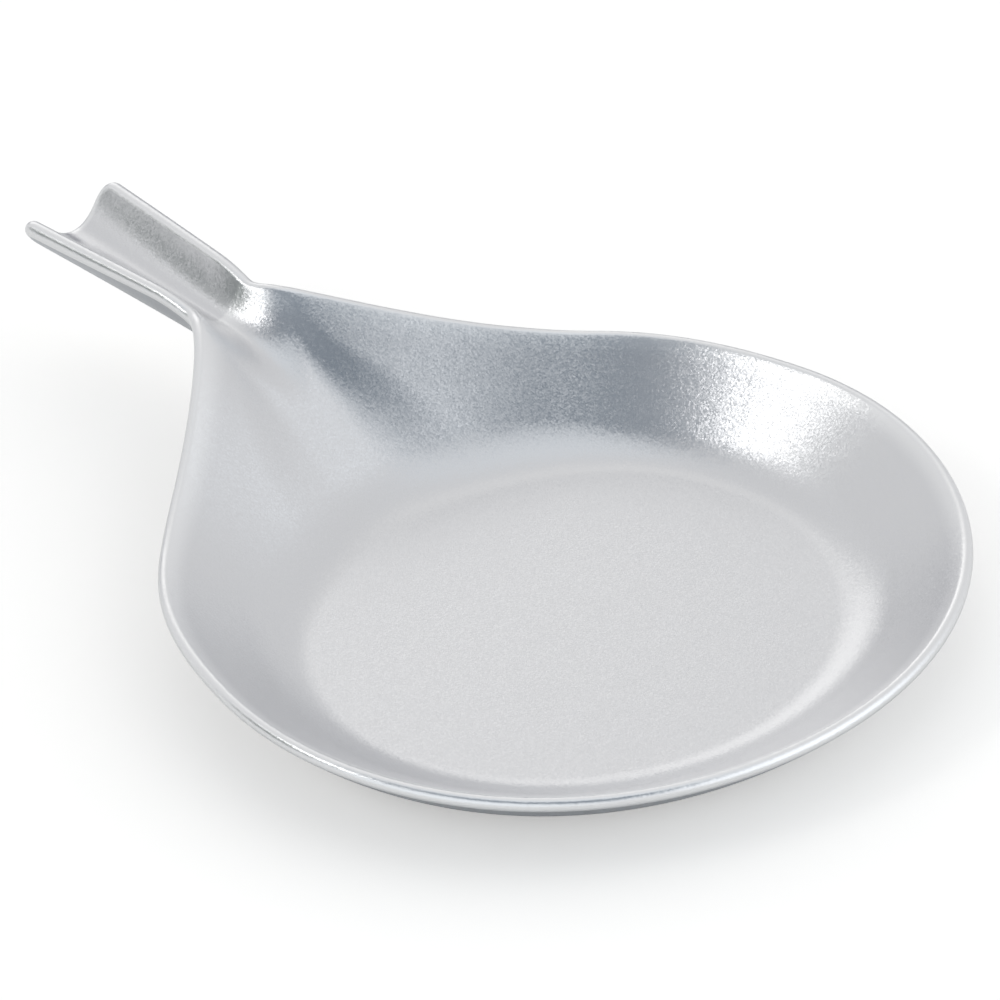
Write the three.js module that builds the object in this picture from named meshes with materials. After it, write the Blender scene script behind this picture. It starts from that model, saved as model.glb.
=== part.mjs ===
import * as THREE from 'three';

// Silver sauce boat: one aluminium casting. A shallow round pan has a cone for a wall, and on one side
// the wall runs up and bends over into an open channel, the spout.
// Millimetres, +Z up, the base stands on z = 0, +X runs out along the spout, mirror symmetric about y = 0.
//
// The shape is drawn as a middle surface, a height over the plan. The metal lies half a wall thickness to
// each side of it, and some way further out on the outer side where it is thicker. The lip is the full
// round that closes the two sides.

// Metal
const wall = 2.8;                  // thickness at the floor and the pan's lip
const wallSwell = 1.3;             // added half way up the pan's wall
const channelSwell = 1.5;          // added along the channel's bottom
const tipSwell = 0.9;              // added to the lip at the tip
const tipSwellFrom = 80;           // x where the lip starts to thicken towards the tip

// Pan
const floorCentreX = 2.3;          // centre of the round floor
const floorRadius = 60;            // circle where the floor's plane and the wall's cone would meet
const floorFillet = 6.0;           // half the width of the fillet between the two
const spoutFillet = 9;             // the same where the wall runs up to the spout, a softer bend
const spoutSlope = 0.66;           // rise over run of the wall on the centre line towards the spout

// Trough between the two sides of the pan's wall, below the spout: degrees that it takes up to each side
// of the centre line, at two radii
const trough = { neckAngle: 7, neckRadius: 100, footAngle: 20, footRadius: 65 };
const panLipFrom = 4.5;            // degrees; nearer the centre line than this the lip is the channel's

// Plan of the lip's centre line, one side
const panHalfWidth = 80;
const panBack = 78;                // from the origin to the back of the pan
const shoulder = { x: 15, pull: 30.6 };
const flank = { x: 70.3, y: 48.1, slope: -1.1, pullBack: 19.5, pullOn: 11.3 };
const neck = { x: 114.4, halfWidth: 7.7, pullBack: 10.6 };
const tip = { x: 165.5, halfWidth: 10.8, cornerRadius: 2.6, bow: 1.6 };  // the corners reach the bow past x

// Height of the lip's centre line
const lipBack = 15.4;
const lipSide = 19.1;
const lipNeck = 34.5;
const sideX = 20;                  // the lip has risen from the back to its side height here
const riseX = 60.5;                // and starts to rise to the neck here

// Channel
const channelBottomNeck = 26.6;    // middle surface, on the centre line
const channelBottomTip = 28.7;
const channelDepthNeck = 8.3;      // from the bottom up to the lip's centre line
const channelDepthTip = 7.4;
const blendHeight = 9;             // how far the pan's wall and the channel melt into each other

// Mesh
const arcSteps = 22;               // lip points round the back quarter
const shoulderSteps = 4;
const flankSteps = 8;
const neckSteps = 10;
const channelSteps = 12;           // lip points along the channel
const acrossSteps = 7;             // points from the channel's bottom to its lip
const lipSteps = 6;                // facets of the rounded lip
const flatRings = 2;
const filletRings = 5;
const wallRings = 7;

const smoothStep = (low, high, value) => THREE.MathUtils.smoothstep(value, low, high);
const lerp = THREE.MathUtils.lerp;

// the smaller of two heights, rounded where they are within the blend of each other
function blendedLow(a, b, blend) {
  const overlap = Math.max(blend - Math.abs(a - b), 0) / blend;
  return Math.min(a, b) - overlap * overlap * blend / 4;
}

// plan of the lip from the back of the pan round to the neck, on the +Y side
function panLipPlan() {
  const shoulderPoint = new THREE.Vector2(shoulder.x, Math.sqrt(panHalfWidth ** 2 - shoulder.x ** 2));
  const shoulderWay = new THREE.Vector2(shoulderPoint.y, -shoulderPoint.x).normalize();
  const flankPoint = new THREE.Vector2(flank.x, flank.y);
  const flankWay = new THREE.Vector2(1, flank.slope).normalize();
  const neckPoint = new THREE.Vector2(neck.x, neck.halfWidth);
  const neckWay = new THREE.Vector2(tip.x - neck.x, tip.halfWidth - neck.halfWidth).normalize();
  const pulled = (point, way, pull) => point.clone().addScaledVector(way, pull);
  const pieces = [
    [new THREE.EllipseCurve(0, 0, panBack, panHalfWidth, Math.PI, Math.PI / 2, true), arcSteps],
    [new THREE.EllipseCurve(0, 0, panHalfWidth, panHalfWidth, Math.PI / 2, shoulderPoint.angle(), true),
      shoulderSteps],
    [new THREE.CubicBezierCurve(shoulderPoint, pulled(shoulderPoint, shoulderWay, shoulder.pull),
      pulled(flankPoint, flankWay, -flank.pullBack), flankPoint), flankSteps],
    [new THREE.CubicBezierCurve(flankPoint, pulled(flankPoint, flankWay, flank.pullOn),
      pulled(neckPoint, neckWay, -neck.pullBack), neckPoint), neckSteps],
  ];
  return pieces.flatMap(([curve, steps]) => curve.getSpacedPoints(steps).slice(0, -1)).concat([neckPoint]);
}

function lipHeight(x) {
  const side = lerp(lipBack, lipSide, smoothStep(-panHalfWidth, sideX, x));
  return side + (lipNeck - lipSide) * smoothStep(riseX, neck.x, x);
}

// The wall's slope in the direction of each lip point, from the floor's rim up to the lip.
const panLip = panLipPlan();
const lipSlopes = panLip.map((p) => {
  const run = Math.hypot(p.x - floorCentreX, p.y) - floorRadius;
  return { angle: Math.atan2(p.y, p.x - floorCentreX), slope: (lipHeight(p.x) - wall / 2) / run };
});

function slopeTowards(angle, radius) {
  const opening = smoothStep(trough.footRadius, trough.neckRadius, radius);
  const troughAngle = THREE.MathUtils.degToRad(lerp(trough.footAngle, trough.neckAngle, opening));
  const from = Math.max(angle, THREE.MathUtils.degToRad(panLipFrom));
  const after = lipSlopes.findIndex((lip, i) => i > 0 && lip.angle <= from);
  const [a, b] = [lipSlopes[after - 1], lipSlopes[after]];
  const slope = lerp(a.slope, b.slope, (a.angle - from) / (a.angle - b.angle));
  return lerp(spoutSlope, slope, smoothStep(0, troughAngle, angle));
}

// flat floor, parabolic fillet, straight wall
function panHeight(x, y) {
  const angle = Math.abs(Math.atan2(y, x - floorCentreX));
  const fillet = lerp(floorFillet, spoutFillet, smoothStep(0.5, 1, Math.cos(angle)));
  const radius = Math.hypot(x - floorCentreX, y);
  const run = radius - floorRadius;
  if (run < -fillet) return wall / 2;
  const slope = slopeTowards(angle, radius);
  return wall / 2 + slope * (run > fillet ? run : (run + fillet) ** 2 / (4 * fillet));
}

// a parabolic gutter that opens and rises slightly towards the tip
function channelHeight(x, y) {
  const along = THREE.MathUtils.clamp((x - neck.x) / (tip.x - neck.x), 0, 1);
  const bottom = lerp(channelBottomNeck, channelBottomTip, along);
  const depth = lerp(channelDepthNeck, channelDepthTip, along);
  return bottom + depth * (y / lerp(neck.halfWidth, tip.halfWidth, along)) ** 2;
}

function middleHeight(x, y) {
  return blendedLow(panHeight(x, y), channelHeight(x, y), blendHeight);
}

function surfacePoint(x, y) {
  return new THREE.Vector3(x, y, middleHeight(x, y));
}

// unit normal of the middle surface, pointing up
function surfaceNormal(x, y) {
  const step = 0.05;
  const slopeX = (middleHeight(x + step, y) - middleHeight(x - step, y)) / (2 * step);
  const slopeY = (middleHeight(x, y + step) - middleHeight(x, y - step)) / (2 * step);
  return new THREE.Vector3(-slopeX, -slopeY, 1).normalize();
}

// where a channel line ends: the end bows inwards in the middle and is rounded at its corners
function channelEnd(across) {
  const past = Math.max(across * tip.halfWidth - (tip.halfWidth - tip.cornerRadius), 0);
  const corner = tip.cornerRadius - Math.sqrt(Math.max(tip.cornerRadius ** 2 - past ** 2, 0));
  return tip.x + tip.bow * across ** 2 - corner;
}

// how much thicker than the wall the metal is at the lip, and across the channel from its bottom to its lip
const lipSwell = (x) => tipSwell * smoothStep(tipSwellFrom, tip.x, x);
const channelSwellAt = (x, across) => lerp(channelSwell, lipSwell(x), across ** 2);

// The middle surface is a fan of spokes. A spoke leaves the floor's centre, and ends on the lip, or runs
// through the neck and on along the channel to its tip. Each spoke is a list of plan points with the swell
// of the metal there.
function spokes() {
  const mirrored = panLip.slice(1, -1).map((p) => new THREE.Vector2(p.x, -p.y));
  const neckRow = [];
  for (let i = -acrossSteps; i <= acrossSteps; i += 1) {
    neckRow.push(new THREE.Vector2(neck.x, neck.halfWidth * i / acrossSteps));
  }
  // counter-clockwise from the back: along -Y, across the neck, back along +Y
  const ends = [panLip[0], ...mirrored, ...neckRow, ...panLip.slice(1, -1).reverse()];

  // the spokes leave the floor's rim evenly by the length of the outline that they end on
  const lengths = ends.map((p, i) => p.distanceTo(ends[(i + 1) % ends.length]));
  const total = lengths.reduce((sum, value) => sum + value, 0);
  let travelled = 0;
  return ends.map((end, i) => {
    const angle = Math.PI + 2 * Math.PI * travelled / total;
    travelled += lengths[i];
    const way = new THREE.Vector2(Math.cos(angle), Math.sin(angle));
    const reach = spoutFillet * smoothStep(0.5, 1, way.x) + floorFillet;
    const from = (radius) => new THREE.Vector2(floorCentreX, 0).addScaledVector(way, radius);
    const flatEdge = from(floorRadius - reach);
    const across = Math.abs(end.y) / neck.halfWidth;
    const throughNeck = end.x >= neck.x - 1e-6 && across <= 1 + 1e-6;
    const endSwell = throughNeck ? channelSwellAt(neck.x, across) : lipSwell(end.x);
    const points = [];
    const addPoint = (plan, swell) => points.push({ x: plan.x, y: plan.y, swell });
    for (let k = 1; k <= flatRings; k += 1) addPoint(from((floorRadius - reach) * k / flatRings), 0);
    const rise = filletRings + wallRings;
    for (let k = 1; k <= rise; k += 1) {
      const share = k <= filletRings ? 0.4 * k / filletRings : 0.4 + 0.6 * (k - filletRings) / wallRings;
      const swell = (endSwell * share + wallSwell * 4 * share * (1 - share)) * smoothStep(0.16, 0.46, share);
      addPoint(flatEdge.clone().lerp(end, share), swell);
    }
    if (throughNeck) {
      const last = channelEnd(across);
      for (let k = 1; k <= channelSteps; k += 1) {
        const x = lerp(neck.x, last, k / channelSteps);
        const half = lerp(neck.halfWidth, tip.halfWidth, (x - neck.x) / (tip.x - neck.x));
        addPoint(new THREE.Vector2(x, Math.sign(end.y) * across * half), channelSwellAt(x, across));
      }
    }
    return points;
  });
}

function buildCasting() {
  const rays = spokes();
  const count = rays.length;
  const positions = [];
  const triangles = [];
  const addVertex = (point) => positions.push(point.x, point.y, point.z) / 3 - 1;
  const addQuad = (a, b, c, d) => triangles.push(a, b, c, a, c, d);

  // inner and outer vertex of every plan point, side +1 and -1
  const offset = (p, side) => {
    const away = side > 0 ? wall / 2 : -wall / 2 - p.swell;
    return surfacePoint(p.x, p.y).addScaledVector(surfaceNormal(p.x, p.y), away);
  };
  const sides = [1, -1].map((side) => ({
    side,
    centre: addVertex(offset({ x: floorCentreX, y: 0, swell: 0 }, side)),
    rows: rays.map((ray) => ray.map((p) => addVertex(offset(p, side)))),
  }));

  for (const { side, centre, rows } of sides) {
    const face = (a, b, c, d) => (side > 0 ? addQuad(a, b, c, d) : addQuad(d, c, b, a));
    for (let i = 0; i < count; i += 1) {
      const here = rows[i];
      const next = rows[(i + 1) % count];
      triangles.push(...(side > 0 ? [centre, here[0], next[0]] : [centre, next[0], here[0]]));
      const shared = Math.min(here.length, next.length);
      for (let k = 0; k + 1 < shared; k += 1) face(here[k], here[k + 1], next[k + 1], next[k]);
    }
  }

  // the edge of the middle surface, counter-clockwise: pan lips, channel lips and the channel's end
  const edge = [];
  const panLast = flatRings + filletRings + wallRings - 1;
  const reachesTip = rays.map((ray) => ray.length - 1 > panLast);
  const first = reachesTip.indexOf(true);
  const last = reachesTip.lastIndexOf(true);
  rays.forEach((ray, i) => {
    if (i === first) for (let k = panLast; k < ray.length; k += 1) edge.push([i, k]);
    else if (i === last) for (let k = ray.length - 1; k >= panLast; k -= 1) edge.push([i, k]);
    else edge.push([i, ray.length - 1]);
  });

  // the rounded lip joins the inner vertex of each edge point to its outer vertex over a half circle
  const planOf = ([i, k]) => rays[i][k];
  const lipRows = edge.map((at, n) => {
    const here = planOf(at);
    const before = planOf(edge[(n + edge.length - 1) % edge.length]);
    const after = planOf(edge[(n + 1) % edge.length]);
    const normal = surfaceNormal(here.x, here.y);
    const lipCentre = surfacePoint(here.x, here.y).addScaledVector(normal, -here.swell / 2);
    const lipRadius = (wall + here.swell) / 2;
    const along = surfacePoint(after.x, after.y).sub(surfacePoint(before.x, before.y)).normalize();
    const outward = along.clone().cross(normal).normalize();
    const row = [sides[0].rows[at[0]][at[1]]];
    for (let k = 1; k < lipSteps; k += 1) {
      const turn = Math.PI * k / lipSteps;
      const point = lipCentre.clone().addScaledVector(normal, Math.cos(turn) * lipRadius);
      row.push(addVertex(point.addScaledVector(outward, Math.sin(turn) * lipRadius)));
    }
    row.push(sides[1].rows[at[0]][at[1]]);
    return row;
  });
  lipRows.forEach((row, n) => {
    const next = lipRows[(n + 1) % lipRows.length];
    for (let k = 0; k < lipSteps; k += 1) addQuad(row[k], row[k + 1], next[k + 1], next[k]);
  });

  const geometry = new THREE.BufferGeometry();
  geometry.setAttribute('position', new THREE.Float32BufferAttribute(positions, 3));
  geometry.setIndex(triangles);
  geometry.computeVertexNormals();
  return geometry;
}

const satinAluminium = new THREE.MeshStandardMaterial({ color: 0xb9bcbe, roughness: 0.38, metalness: 1 });

const casting = new THREE.Mesh(buildCasting(), satinAluminium);
casting.name = 'sauce_boat_casting';

const sauceBoat = new THREE.Group();
sauceBoat.name = 'sauce_boat';
sauceBoat.add(casting);

export default sauceBoat;
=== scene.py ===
from math import atan2, cos, hypot, pi, radians, sin, sqrt

import bmesh
import bpy
import numpy as np
from mathutils import Matrix, Vector


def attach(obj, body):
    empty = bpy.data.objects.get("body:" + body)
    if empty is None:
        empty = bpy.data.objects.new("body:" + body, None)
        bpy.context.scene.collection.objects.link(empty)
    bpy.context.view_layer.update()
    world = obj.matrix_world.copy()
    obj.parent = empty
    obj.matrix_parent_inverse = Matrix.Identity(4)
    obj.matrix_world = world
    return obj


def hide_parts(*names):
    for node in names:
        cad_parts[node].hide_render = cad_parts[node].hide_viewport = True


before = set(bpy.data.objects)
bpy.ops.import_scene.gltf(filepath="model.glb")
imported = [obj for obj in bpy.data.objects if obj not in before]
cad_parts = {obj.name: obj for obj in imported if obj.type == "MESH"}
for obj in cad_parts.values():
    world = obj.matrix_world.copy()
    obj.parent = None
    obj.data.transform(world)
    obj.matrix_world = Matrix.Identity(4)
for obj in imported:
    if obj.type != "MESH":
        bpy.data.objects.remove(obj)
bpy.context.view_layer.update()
mm = 0.001
cadNode = "sauce_boat_casting"
print("frame loaded:", sorted(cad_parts))

# A shallow round pan whose wall runs up on one side and bends over into an open channel.
# All of it is in millimetres, with the base on z = 0 and the spout along +X.
form = {
    "wall": 2.8,                # thickness of the metal at the floor and the pan's lip
    "wallSwell": 1.3,           # added half way up the pan's wall, on the outer side
    "swellFrom": 0.16, "swellFull": 0.46,       # shares of the way from floor to lip where it sets in
    "channelSwell": 1.5,        # added along the channel's bottom
    "tipSwell": 0.9,            # added to the lip at the tip
    "tipSwellFrom": 80.0,       # x where the lip starts to thicken towards the tip
    "floorCentre": 2.3,
    "floorRadius": 60.0,        # where the floor and the wall would meet without their fillet
    "floorFillet": 6.0,         # half the fillet's width
    "spoutFillet": 9.0,         # the same towards the spout, a softer bend
    "spoutFilletFrom": 0.5,     # cosine of the angle off the centre line where it starts to widen
    "spoutSlope": 0.66,         # rise over run of the wall on the spout's centre line
    "troughNeck": 7.0,          # degrees either side of the centre line that the trough takes up at the neck
    "troughFloor": 20.0,        # and where it meets the floor
    "troughTop": 100.0, "troughFoot": 65.0,     # radii where those two hold, neck and floor
    "slopeSpread": 1.5,         # degrees to each side that the wall's slope is averaged over
    "panLipFrom": 4.5,          # degrees; nearer the centre line than this the lip is the channel's
    "panHalfWidth": 80.0,
    "panBack": 78.0,
    "shoulderX": 15.0, "shoulderPull": 30.6,
    "flankX": 70.3, "flankY": 48.1, "flankSlope": -1.1, "flankPullBack": 19.5, "flankPullOn": 11.3,
    "neckX": 114.4, "neckHalf": 7.7, "neckPull": 10.6,
    "tipX": 165.5, "tipHalf": 10.8, "tipCorner": 2.6, "tipBow": 1.6,
    "lipBack": 15.4, "lipSide": 19.1, "lipNeck": 34.5, "sideX": 20.0, "riseX": 60.5,
    "bottomNeck": 26.6, "bottomTip": 28.7, "depthNeck": 8.3, "depthTip": 7.4,
    "blend": 9.0,               # how far the pan's wall and the channel melt into each other
}

# Satin cast aluminium: cast in a mould, then tumbled until the skin is even. The eye gets a grey metal with
# no mirror in it: broad soft highlights, and where light meets dark they break up into fine bright grains.
castMetal = {
    "skin": "#e9e9ea",
    "lip": "#fafafa",           # painted highlight: the lip is painted paler, standing in for the sheen its rounding catches
    "paintedSheenFrom": 0.76,         # share of the way up the wall where the painted highlight starts to show
    "outsideShade": "#c2c5c9",       # painted shade: the outer skin is painted darker, standing in for the dark it reflects
    "roughness": 0.3,
    "grain": 0.6,               # mm from one swelling of the skin to the next
    "grainHeight": 0.014,       # mm
    "facet": 0.34,              # mm across each crystal facet
    "facetTilt": 0.04,          # how far the facets lean, as a share of the normal
    "swell": 9.0,               # mm, slow unevenness left by the mould
    "swellHeight": 0.02,
}

# how finely the surface is divided
mesh = {
    "panSide": 150,             # spokes from the back of the pan to the neck, each side
    "neckFlat": 10,             # spokes through each half of the neck, then round the tip's corner
    "cornerTurn": 8,
    "flatRings": 10,
    "filletShare": 0.45,        # how much of the way from the flat to the lip the fine rings cover
    "filletRings": 18,
    "wallRings": 26,
    "channelRows": 60,
    "lipTurn": 14,              # facets of the rounded lip
    "outerRings": 1000,         # added to a ring's number on the outer skin, to tell the two skins apart
    "weld": 0.005,              # mm
}


def mix(a, b, share):
    return a + (b - a) * share


def ease(low, high, value):
    share = np.clip((value - low) / (high - low), 0.0, 1.0)
    return share * share * (3.0 - 2.0 * share)


def bezier(a, b, c, d, steps):
    t = np.linspace(0.0, 1.0, steps)[:, None]
    return (1 - t) ** 3 * a + 3 * (1 - t) ** 2 * t * b + 3 * (1 - t) * t ** 2 * c + t ** 3 * d


def lipPlan():
    # centre line of the lip from the back of the pan to the neck, seen from above, +Y side
    f = form
    turn = np.linspace(pi, pi / 2, 200)
    back = np.c_[f["panBack"] * np.cos(turn), f["panHalfWidth"] * np.sin(turn)]
    shoulder = np.array([f["shoulderX"], sqrt(f["panHalfWidth"] ** 2 - f["shoulderX"] ** 2)])
    turn = np.linspace(pi / 2, atan2(shoulder[1], shoulder[0]), 40)
    side = f["panHalfWidth"] * np.c_[np.cos(turn), np.sin(turn)]
    shoulderWay = np.array([shoulder[1], -shoulder[0]]) / f["panHalfWidth"]
    flank = np.array([f["flankX"], f["flankY"]])
    flankWay = np.array([1.0, f["flankSlope"]]) / hypot(1.0, f["flankSlope"])
    neck = np.array([f["neckX"], f["neckHalf"]])
    neckWay = np.array([f["tipX"] - f["neckX"], f["tipHalf"] - f["neckHalf"]])
    neckWay /= hypot(*neckWay)
    upper = bezier(shoulder, shoulder + f["shoulderPull"] * shoulderWay,
                   flank - f["flankPullBack"] * flankWay, flank, 160)
    lower = bezier(flank, flank + f["flankPullOn"] * flankWay, neck - f["neckPull"] * neckWay, neck, 200)
    return np.vstack([back, side[1:], upper[1:], lower[1:]])


def lipHeight(x):
    f = form
    side = mix(f["lipBack"], f["lipSide"], ease(-f["panHalfWidth"], f["sideX"], x))
    return side + (f["lipNeck"] - f["lipSide"]) * ease(f["riseX"], f["neckX"], x)


lip = lipPlan()
lipAngle = np.arctan2(lip[:, 1], lip[:, 0] - form["floorCentre"])
lipRun = np.hypot(lip[:, 0] - form["floorCentre"], lip[:, 1]) - form["floorRadius"]
lipSlope = (lipHeight(lip[:, 0]) - form["wall"] / 2) / lipRun


def wallSlope(angle):
    # averaged over the directions near this one, so that it turns without a kink
    near = np.radians(np.linspace(-form["slopeSpread"], form["slopeSpread"], 7))
    first = radians(form["panLipFrom"])
    slopes = [np.interp(np.maximum(np.abs(angle + n), first), lipAngle[::-1], lipSlope[::-1]) for n in near]
    return sum(slopes) / len(slopes)


def panHeight(x, y):
    # flat floor, fillet, straight wall as steep as it takes to meet the lip
    f = form
    angle = np.abs(np.arctan2(y, x - f["floorCentre"]))
    radius = np.hypot(x - f["floorCentre"], y)
    trough = np.radians(mix(f["troughFloor"], f["troughNeck"], ease(f["troughFoot"], f["troughTop"], radius)))
    slope = mix(f["spoutSlope"], wallSlope(angle), ease(0.0, trough, angle))
    fillet = mix(f["floorFillet"], f["spoutFillet"], ease(f["spoutFilletFrom"], 1.0, np.cos(angle)))
    run = radius - f["floorRadius"]
    bend = np.clip(run + fillet, 0.0, 2 * fillet) ** 2 / (4 * fillet)
    return f["wall"] / 2 + slope * (bend + np.maximum(run - fillet, 0.0))


def channelHeight(x, y):
    f = form
    along = np.clip((x - f["neckX"]) / (f["tipX"] - f["neckX"]), 0.0, 1.0)
    half = mix(f["neckHalf"], f["tipHalf"], along)
    depth = mix(f["depthNeck"], f["depthTip"], along)
    return mix(f["bottomNeck"], f["bottomTip"], along) + depth * (y / half) ** 2


def middleHeight(x, y):
    # the lower of the two, rounded where they cross
    pan, channel = panHeight(x, y), channelHeight(x, y)
    overlap = np.maximum(form["blend"] - np.abs(pan - channel), 0.0) / form["blend"]
    return np.minimum(pan, channel) - overlap ** 2 * form["blend"] / 4


def upNormal(x, y, step=0.02):
    slopeX = (middleHeight(x + step, y) - middleHeight(x - step, y)) / (2 * step)
    slopeY = (middleHeight(x, y + step) - middleHeight(x, y - step)) / (2 * step)
    return Vector((-float(slopeX), -float(slopeY), 1.0)).normalized()


def lipSwell(x):
    return form["tipSwell"] * ease(form["tipSwellFrom"], form["tipX"], x)


def channelSwell(x, across):
    return mix(form["channelSwell"], lipSwell(x), across ** 2)


def spacedAlong(points, count):
    steps = np.hypot(*np.diff(points, axis=0).T)
    travelled = np.r_[0.0, np.cumsum(steps)]
    wanted = np.linspace(0.0, travelled[-1], count)
    return np.c_[np.interp(wanted, travelled, points[:, 0]), np.interp(wanted, travelled, points[:, 1])]


def neckSpread():
    # where the neck's spokes cross it, from -1 to 1: even, then even round the tip's corner
    f, m = form, mesh
    flatPart = 1.0 - f["tipCorner"] / f["tipHalf"]
    corner = np.sin(np.linspace(0.0, pi / 2, m["cornerTurn"] + 1))
    half = np.r_[np.linspace(0.0, flatPart, m["neckFlat"] + 1), flatPart + (1.0 - flatPart) * corner[1:]]
    return np.r_[-half[:0:-1], half]


def planPoints():
    # plan and swell of every point: the pan's as [ring, spoke], the channel's as [row, neck spoke]
    f, m = form, mesh
    side = spacedAlong(lip, m["panSide"] + 1)
    spread = neckSpread()
    across = np.abs(spread)
    neckRow = np.c_[np.full(len(spread), f["neckX"]), spread * f["neckHalf"]]
    ends = np.vstack([side[:-1] * [1, -1], neckRow, side[1:-1][::-1]])
    endSwell = lipSwell(ends[:, 0])
    endSwell[m["panSide"]:m["panSide"] + len(spread)] = channelSwell(f["neckX"], across)

    # the spokes leave the floor's rim evenly by the length of the outline that they end on
    steps = np.hypot(*(np.roll(ends, -1, axis=0) - ends).T)
    angle = pi + 2 * pi * np.r_[0.0, np.cumsum(steps)[:-1]] / steps.sum()
    way = np.c_[np.cos(angle), np.sin(angle)]
    reach = f["floorFillet"] + f["spoutFillet"] * ease(f["spoutFilletFrom"], 1.0, way[:, 0])
    centre = np.array([f["floorCentre"], 0.0])
    flatEdge = centre + (f["floorRadius"] - reach)[:, None] * way
    flatShare = np.linspace(0.0, 1.0, m["flatRings"] + 1)[1:-1]
    fillet = np.linspace(0.0, m["filletShare"], m["filletRings"] + 1)
    share = np.r_[fillet, np.linspace(m["filletShare"], 1.0, m["wallRings"] + 1)[1:]]
    pan = np.vstack([centre + flatShare[:, None, None] * (flatEdge - centre),
                     flatEdge + share[:, None, None] * (ends - flatEdge)])
    rise = np.r_[0.0 * flatShare, share][:, None]
    panSwell = endSwell * rise + f["wallSwell"] * 4 * rise * (1 - rise)
    panSwell = panSwell * ease(f["swellFrom"], f["swellFull"], rise)

    past = np.maximum(across * f["tipHalf"] - (f["tipHalf"] - f["tipCorner"]), 0.0)
    corner = f["tipCorner"] - np.sqrt(np.maximum(f["tipCorner"] ** 2 - past ** 2, 0.0))
    endX = f["tipX"] + f["tipBow"] * across ** 2 - corner
    rows = np.linspace(0.0, 1.0, m["channelRows"] + 1)[1:, None]
    x = f["neckX"] + rows * (endX - f["neckX"])
    half = mix(f["neckHalf"], f["tipHalf"], (x - f["neckX"]) / (f["tipX"] - f["neckX"]))
    channel = np.stack([x, spread * half], axis=-1)
    return pan, panSwell, channel, channelSwell(x, across)


def selectNothing():
    bpy.ops.object.select_all(action="DESELECT")


def selectWhere(bm, test):
    for part in list(bm.faces) + list(bm.edges) + list(bm.verts):
        part.select = False
    for vert in bm.verts:
        if test(vert):
            vert.select = True
    bm.select_flush_mode()


def numberSelected(piece, ring):
    # an extruded point inherits its spoke, and gets the number of its own ring here
    bm = bmesh.from_edit_mesh(piece.data)
    ringOf = bm.verts.layers.int["ring"]
    for vert in bm.verts:
        if vert.select:
            vert[ringOf] = ring


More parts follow.
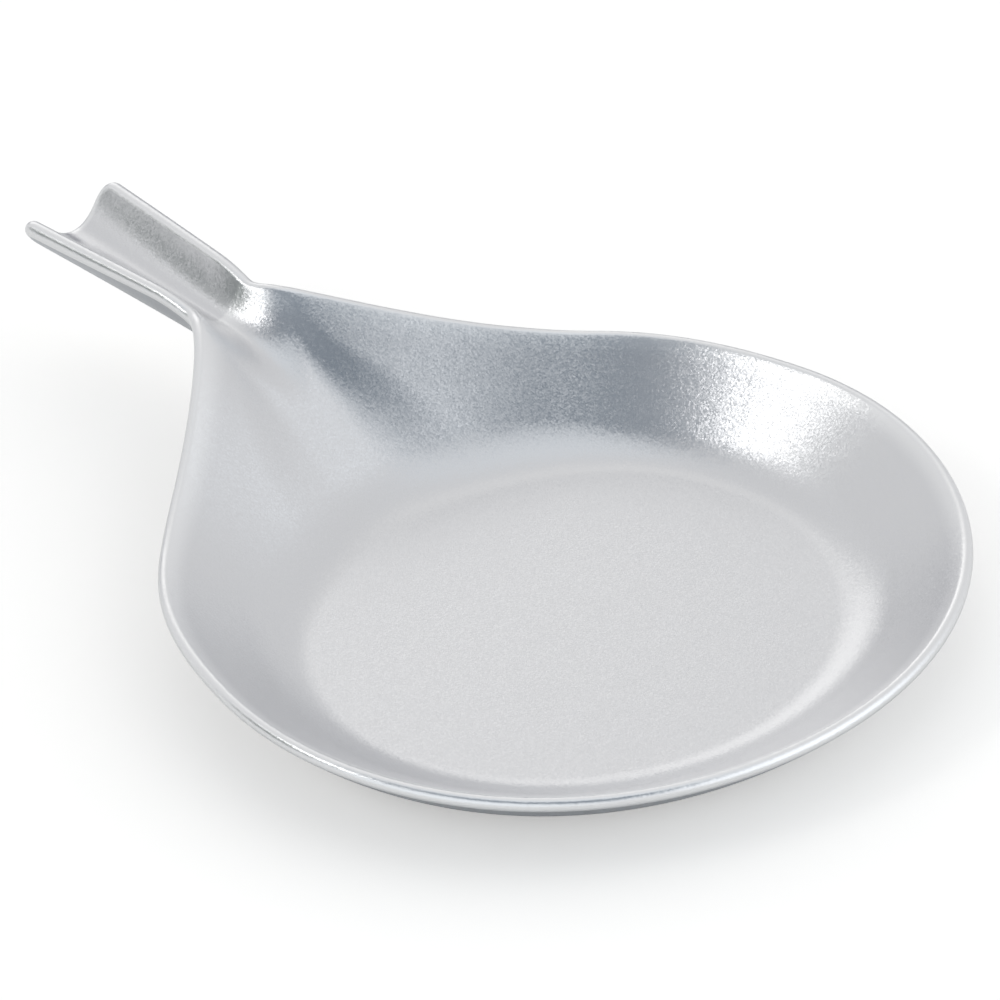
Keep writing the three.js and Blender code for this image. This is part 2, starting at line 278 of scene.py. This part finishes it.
def buildCasting():
    m = mesh
    pan, panSwell, channel, rowSwell = planPoints()
    rings, spokes = pan.shape[:2]
    firstNeck, neckCount = m["panSide"], channel.shape[1]

    # a disc with a side for each spoke, extruded outwards ring by ring
    selectNothing()
    bpy.ops.mesh.primitive_circle_add(vertices=spokes, radius=mm, fill_type="TRIFAN", location=(0, 0, 0))
    piece = bpy.context.object
    piece.name = "casting"
    bpy.ops.object.mode_set(mode="EDIT")
    bm = bmesh.from_edit_mesh(piece.data)
    for name in ("spoke", "ring"):
        bm.verts.layers.int.new(name)
    for name in ("lip", "outsideShade"):
        bm.verts.layers.float.new(name)
    spokeOf, ringOf = bm.verts.layers.int["spoke"], bm.verts.layers.int["ring"]
    for vert in bm.verts:
        vert[ringOf] = 1 if vert.co.length > 0.5 * mm else 0
        vert[spokeOf] = round((atan2(vert.co.y, vert.co.x) % (2 * pi)) * spokes / (2 * pi)) % spokes
    selectWhere(bm, lambda vert: vert[ringOf] == 1)
    for ring in range(2, rings + 1):
        bpy.ops.mesh.extrude_edges_move()
        bpy.ops.transform.resize(value=(ring / (ring - 1), ring / (ring - 1), 1))
        numberSelected(piece, ring)
    print("pan extruded:", rings, "rings of", spokes)

    # the neck's edges run on as the channel
    bm = bmesh.from_edit_mesh(piece.data)
    spokeOf, ringOf = bm.verts.layers.int["spoke"], bm.verts.layers.int["ring"]
    selectWhere(bm, lambda vert: vert[ringOf] == rings and 0 <= vert[spokeOf] - firstNeck < neckCount)
    for row in range(1, m["channelRows"] + 1):
        bpy.ops.mesh.extrude_edges_move(TRANSFORM_OT_translate={"value": (mm, 0, 0)})
        numberSelected(piece, rings + row)
    print("channel extruded:", m["channelRows"], "rows of", neckCount)

    # every point goes up onto the middle surface, above its place in the plan
    bm = bmesh.from_edit_mesh(piece.data)
    spokeOf, ringOf = bm.verts.layers.int["spoke"], bm.verts.layers.int["ring"]
    up, swell, outward = {}, {}, {}
    for vert in bm.verts:
        ring, spoke = vert[ringOf], vert[spokeOf]
        x, y, thicker = form["floorCentre"], 0.0, 0.0
        if ring > rings:
            at = ring - rings - 1, spoke - firstNeck
            (x, y), thicker = channel[at], rowSwell[at]
        elif ring > 0:
            at = ring - 1, spoke
            (x, y), thicker = pan[at], panSwell[at]
        vert.co = Vector((x, y, float(middleHeight(x, y)))) * mm
        up[ring, spoke], swell[ring, spoke] = upNormal(x, y), float(thicker) * mm

    # at the lip, the way out of the surface is square to the edge and to the normal
    for edge in bm.edges:
        if edge.is_boundary:
            face = edge.link_faces[0]
            away = (edge.verts[0].co + edge.verts[1].co) / 2 - face.calc_center_median()
            for vert in edge.verts:
                key = vert[ringOf], vert[spokeOf]
                side = (edge.verts[1].co - edge.verts[0].co).normalized().cross(up[key])
                outward[key] = outward.get(key, Vector()) + (side if side.dot(away) > 0 else -side)

    # the inner skin goes half a wall up, and its copy the outer skin down by the rest of the metal
    bpy.ops.mesh.select_all(action="SELECT")
    bpy.ops.mesh.duplicate()
    bm = bmesh.from_edit_mesh(piece.data)
    spokeOf, ringOf = bm.verts.layers.int["spoke"], bm.verts.layers.int["ring"]
    half = form["wall"] / 2 * mm
    for vert in bm.verts:
        key = vert[ringOf], vert[spokeOf]
        vert.co += up[key] * (-half - swell[key] if vert.select else half)
    bpy.ops.mesh.flip_normals()

    # What the material reads: a painted highlight on the lip, fading out down the inside of the wall, and
    # painted shade on the outer skin.
    # The ring that crosses the neck gets the painted highlight too, though no lip runs there.
    lipSheenShare, outsideShadeShare = bm.verts.layers.float["lip"], bm.verts.layers.float["outsideShade"]
    for vert in bm.verts:
        atEdge = (vert[ringOf], vert[spokeOf]) in outward
        upWall = 1 - (rings - vert[ringOf]) / m["wallRings"]
        if atEdge:
            vert[lipSheenShare] = 1.0
        elif not vert.select and vert[ringOf] <= rings:
            vert[lipSheenShare] = float(ease(castMetal["paintedSheenFrom"], 1.0, upWall))
        # painted shade goes on the outer skin, except at the lip's edge
        if vert.select:
            vert[outsideShadeShare] = 0.0 if atEdge else 1.0
            vert[ringOf] += m["outerRings"]

    # the inner skin's edge is extruded round the lip until it meets the outer skin's
    selectWhere(bm, lambda vert: (vert[ringOf], vert[spokeOf]) in outward)
    for k in range(1, m["lipTurn"] + 1):
        bpy.ops.mesh.extrude_edges_move()
        bm = bmesh.from_edit_mesh(piece.data)
        spokeOf, ringOf = bm.verts.layers.int["spoke"], bm.verts.layers.int["ring"]
        before, now = pi * (k - 1) / m["lipTurn"], pi * k / m["lipTurn"]
        for vert in bm.verts:
            if vert.select:
                key = vert[ringOf], vert[spokeOf]
                radius = half + swell[key] / 2
                vert.co += radius * (cos(now) - cos(before)) * up[key]
                vert.co += radius * (sin(now) - sin(before)) * outward[key].normalized()
        bmesh.update_edit_mesh(piece.data)
    bpy.ops.mesh.select_all(action="SELECT")
    bpy.ops.mesh.remove_doubles(threshold=m["weld"] * mm)
    bpy.ops.mesh.normals_make_consistent(inside=False)
    bm = bmesh.from_edit_mesh(piece.data)
    print("lip closed:", sum(edge.is_boundary for edge in bm.edges), "open edges")
    for name in ("spoke", "ring"):
        bm.verts.layers.int.remove(bm.verts.layers.int[name])
    bmesh.update_edit_mesh(piece.data)
    bpy.ops.object.mode_set(mode="OBJECT")
    bpy.ops.object.shade_smooth()
    print("casting:", len(piece.data.vertices), "vertices", len(piece.data.polygons), "faces")
    return piece


casting = buildCasting()
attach(casting, "root")
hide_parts(cadNode)


def linear(hexColour):
    channels = [int(hexColour[i:i + 2], 16) / 255 for i in (1, 3, 5)]
    return [c / 12.92 if c <= 0.04045 else ((c + 0.055) / 1.055) ** 2.4 for c in channels] + [1.0]


def addNode(tree, kind, settings=None, values=None, links=None):
    # settings are the node's own properties, values its sockets' numbers, links what feeds its sockets
    node = tree.nodes.new(kind)
    for name, value in (settings or {}).items():
        setattr(node, name, value)
    for socket, value in (values or {}).items():
        node.inputs[socket].default_value = value
    for socket, source in (links or {}).items():
        tree.links.new(source, node.inputs[socket])
    return node


def newTree(block):
    block.use_nodes = True
    block.node_tree.nodes.clear()
    return block.node_tree


def castAluminium():
    c = castMetal
    material = bpy.data.materials.new("satinCastAluminium")
    tree = newTree(material)
    place = addNode(tree, "ShaderNodeTexCoord").outputs["Object"]
    grain = addNode(tree, "ShaderNodeTexNoise", values={"Scale": 1 / (c["grain"] * mm), "Detail": 1.0,
                    "Roughness": 0.5}, links={"Vector": place}).outputs["Fac"]
    facet = addNode(tree, "ShaderNodeTexVoronoi", values={"Scale": 1 / (c["facet"] * mm)},
                    links={"Vector": place}).outputs["Color"]
    swell = addNode(tree, "ShaderNodeTexNoise", values={"Scale": 1 / (c["swell"] * mm), "Detail": 2.0,
                    "Roughness": 0.5}, links={"Vector": place}).outputs["Fac"]
    slow = addNode(tree, "ShaderNodeBump", values={"Strength": 1.0, "Distance": 2 * c["swellHeight"] * mm},
                   links={"Height": swell}).outputs["Normal"]
    rough = addNode(tree, "ShaderNodeBump", values={"Strength": 1.0, "Distance": 2 * c["grainHeight"] * mm},
                    links={"Height": grain, "Normal": slow}).outputs["Normal"]
    lean = addNode(tree, "ShaderNodeVectorMath", {"operation": "SUBTRACT"}, {1: (0.5, 0.5, 0.5)},
                   {0: facet}).outputs["Vector"]
    leaning = addNode(tree, "ShaderNodeVectorMath", {"operation": "MULTIPLY_ADD"},
                      {1: [2 * c["facetTilt"]] * 3}, {0: lean, 2: rough}).outputs["Vector"]
    normal = addNode(tree, "ShaderNodeVectorMath", {"operation": "NORMALIZE"},
                     links={0: leaning}).outputs["Vector"]
    # painted highlight: the lip and the top of the inner wall get a paler base colour
    lipSheenShare = addNode(tree, "ShaderNodeAttribute", {"attribute_name": "lip"}).outputs["Fac"]
    colour = addNode(tree, "ShaderNodeMix", {"data_type": "RGBA"},
                     {6: linear(c["skin"]), 7: linear(c["lip"])}, {0: lipSheenShare}).outputs[2]
    # painted shade: the outer skin gets a darker base colour
    outsideShadeShare = addNode(tree, "ShaderNodeAttribute", {"attribute_name": "outsideShade"}).outputs["Fac"]
    colour = addNode(tree, "ShaderNodeMix", {"data_type": "RGBA"}, {7: linear(c["outsideShade"])},
                     {0: outsideShadeShare, 6: colour}).outputs[2]
    shader = addNode(tree, "ShaderNodeBsdfPrincipled", values={"Metallic": 1.0, "Roughness": c["roughness"]},
                     links={"Base Color": colour, "Normal": normal}).outputs["BSDF"]
    addNode(tree, "ShaderNodeOutputMaterial", links={"Surface": shader})
    return material


casting.data.materials.append(castAluminium())
print("casting finished")

# the camera stands back with a long lens, and is rolled a little
view = {"azimuth": -127.7, "elevation": 33.4, "roll": -5.6, "distance": 1.147, "lens": 197.5,
        "sensor": 36, "seesTo": 50, "target": (0.0388, -0.0126, 0.0093)}


def buildCamera():
    data = bpy.data.cameras.new("camera")
    data.sensor_width = view["sensor"]
    data.lens = view["lens"]
    data.clip_end = view["seesTo"]
    camera = bpy.data.objects.new("camera", data)
    bpy.context.collection.objects.link(camera)
    a, e = radians(view["azimuth"]), radians(view["elevation"])
    back = Vector((sin(a) * cos(e), -cos(a) * cos(e), sin(e)))
    turn = back.to_track_quat("Z", "Y").to_matrix().to_4x4() @ Matrix.Rotation(radians(view["roll"]), 4, "Z")
    camera.matrix_world = Matrix.Translation(Vector(view["target"]) + back * view["distance"]) @ turn
    bpy.context.scene.camera = camera


buildCamera()

# the table: white acrylic with a matt face. Its glow is there for the camera alone, so that the table
# reads white and the casting isn't lit by it.
acrylic = {"size": 6.0, "colour": "#fbf9f6", "roughness": 0.9, "glow": 0.36}


def buildFloor():
    selectNothing()
    bpy.ops.mesh.primitive_plane_add(size=acrylic["size"], location=(0, 0, 0))
    floor = bpy.context.object
    floor.name = "floor"
    material = bpy.data.materials.new("mattAcrylic")
    tree = newTree(material)
    byCamera = addNode(tree, "ShaderNodeLightPath").outputs["Is Camera Ray"]
    glow = addNode(tree, "ShaderNodeMath", {"operation": "MULTIPLY"}, {1: acrylic["glow"]},
                   {0: byCamera}).outputs["Value"]
    shader = addNode(tree, "ShaderNodeBsdfPrincipled", values={"Base Color": linear(acrylic["colour"]),
                     "Roughness": acrylic["roughness"], "Emission Color": linear(acrylic["colour"])},
                     links={"Emission Strength": glow}).outputs["BSDF"]
    addNode(tree, "ShaderNodeOutputMaterial", links={"Surface": shader})
    floor.data.materials.append(material)


buildFloor()

# The studio is a white room with soft light panels and dark screens. Each stands turn degrees round from the
# camera, counter-clockwise from above, and is full inside its core and gone past its edge, all in degrees.
# Where two overlap, the later one lies in front. The dimmer turns all of it down together.
room = {"colour": "#fcfdff", "strength": 1.04, "backdrop": "#ffffff", "dimmer": 0.69}
panels = {
    "screenOverCamera": {"turn": 345, "up": 60, "core": 10, "edge": 45, "colour": "#004060", "strength": 1.0},
    "keyLight": {"turn": 276, "up": 38, "core": 5, "edge": 14, "colour": "#ffffff", "strength": 6.0},
    "stripBehind": {"turn": 180, "up": 50, "core": 3, "edge": 13, "colour": "#ffffff", "strength": 1.25},
    "sideLight": {"turn": 65, "up": 25, "core": 5, "edge": 50, "colour": "#f5faff", "strength": 1.75},
    "screenByKey": {"turn": 270, "up": 25, "core": 5, "edge": 20, "colour": "#083830", "strength": 1.0},
    "darkHorizon": {"turn": 185, "up": -18, "core": 15, "edge": 45, "colour": "#001a4d", "strength": 1.0},
    "topLight": {"turn": 0, "up": 90, "core": 10, "edge": 25, "colour": "#f5faff", "strength": 1.2},
    "backLight": {"turn": 190, "up": 20, "core": 5, "edge": 20, "colour": "#ffffff", "strength": 1.7},
    "frontLight": {"turn": 330, "up": 20, "core": 10, "edge": 45, "colour": "#f5faff", "strength": 1.35},
}


def wayFromCamera(turn, up):
    a, e = radians(view["azimuth"] + turn), radians(up)
    return sin(a) * cos(e), -cos(a) * cos(e), sin(e)


def lightRoom():
    world = bpy.data.worlds.new("studio")
    bpy.context.scene.world = world
    tree = newTree(world)
    way = addNode(tree, "ShaderNodeTexCoord").outputs["Generated"]
    light = addNode(tree, "ShaderNodeRGB")
    light.outputs[0].default_value = [c * room["strength"] for c in linear(room["colour"])]
    seen = light.outputs[0]
    for panel in panels.values():
        facing = addNode(tree, "ShaderNodeVectorMath", {"operation": "DOT_PRODUCT"},
                         {1: wayFromCamera(panel["turn"], panel["up"])}, {0: way}).outputs["Value"]
        share = addNode(tree, "ShaderNodeMapRange", {"interpolation_type": "SMOOTHSTEP"},
                        {"From Min": cos(radians(panel["edge"])), "From Max": cos(radians(panel["core"]))},
                        {"Value": facing}).outputs["Result"]
        glow = [c * panel["strength"] for c in linear(panel["colour"])]
        seen = addNode(tree, "ShaderNodeMix", {"data_type": "RGBA", "clamp_result": False}, {7: glow},
                       {0: share, 6: seen}).outputs[2]

    # the camera itself sees a plain backdrop, without the panels
    byCamera = addNode(tree, "ShaderNodeLightPath").outputs["Is Camera Ray"]
    seen = addNode(tree, "ShaderNodeMix", {"data_type": "RGBA"}, {7: linear(room["backdrop"])},
                   {0: byCamera, 6: seen}).outputs[2]
    background = addNode(tree, "ShaderNodeBackground", values={"Strength": room["dimmer"]},
                         links={"Color": seen}).outputs["Background"]
    addNode(tree, "ShaderNodeOutputWorld", links={"Surface": background})


lightRoom()
bpy.context.scene.view_settings.view_transform = "Standard"     # the white table stays white
print("room lit by", len(panels), "panels")
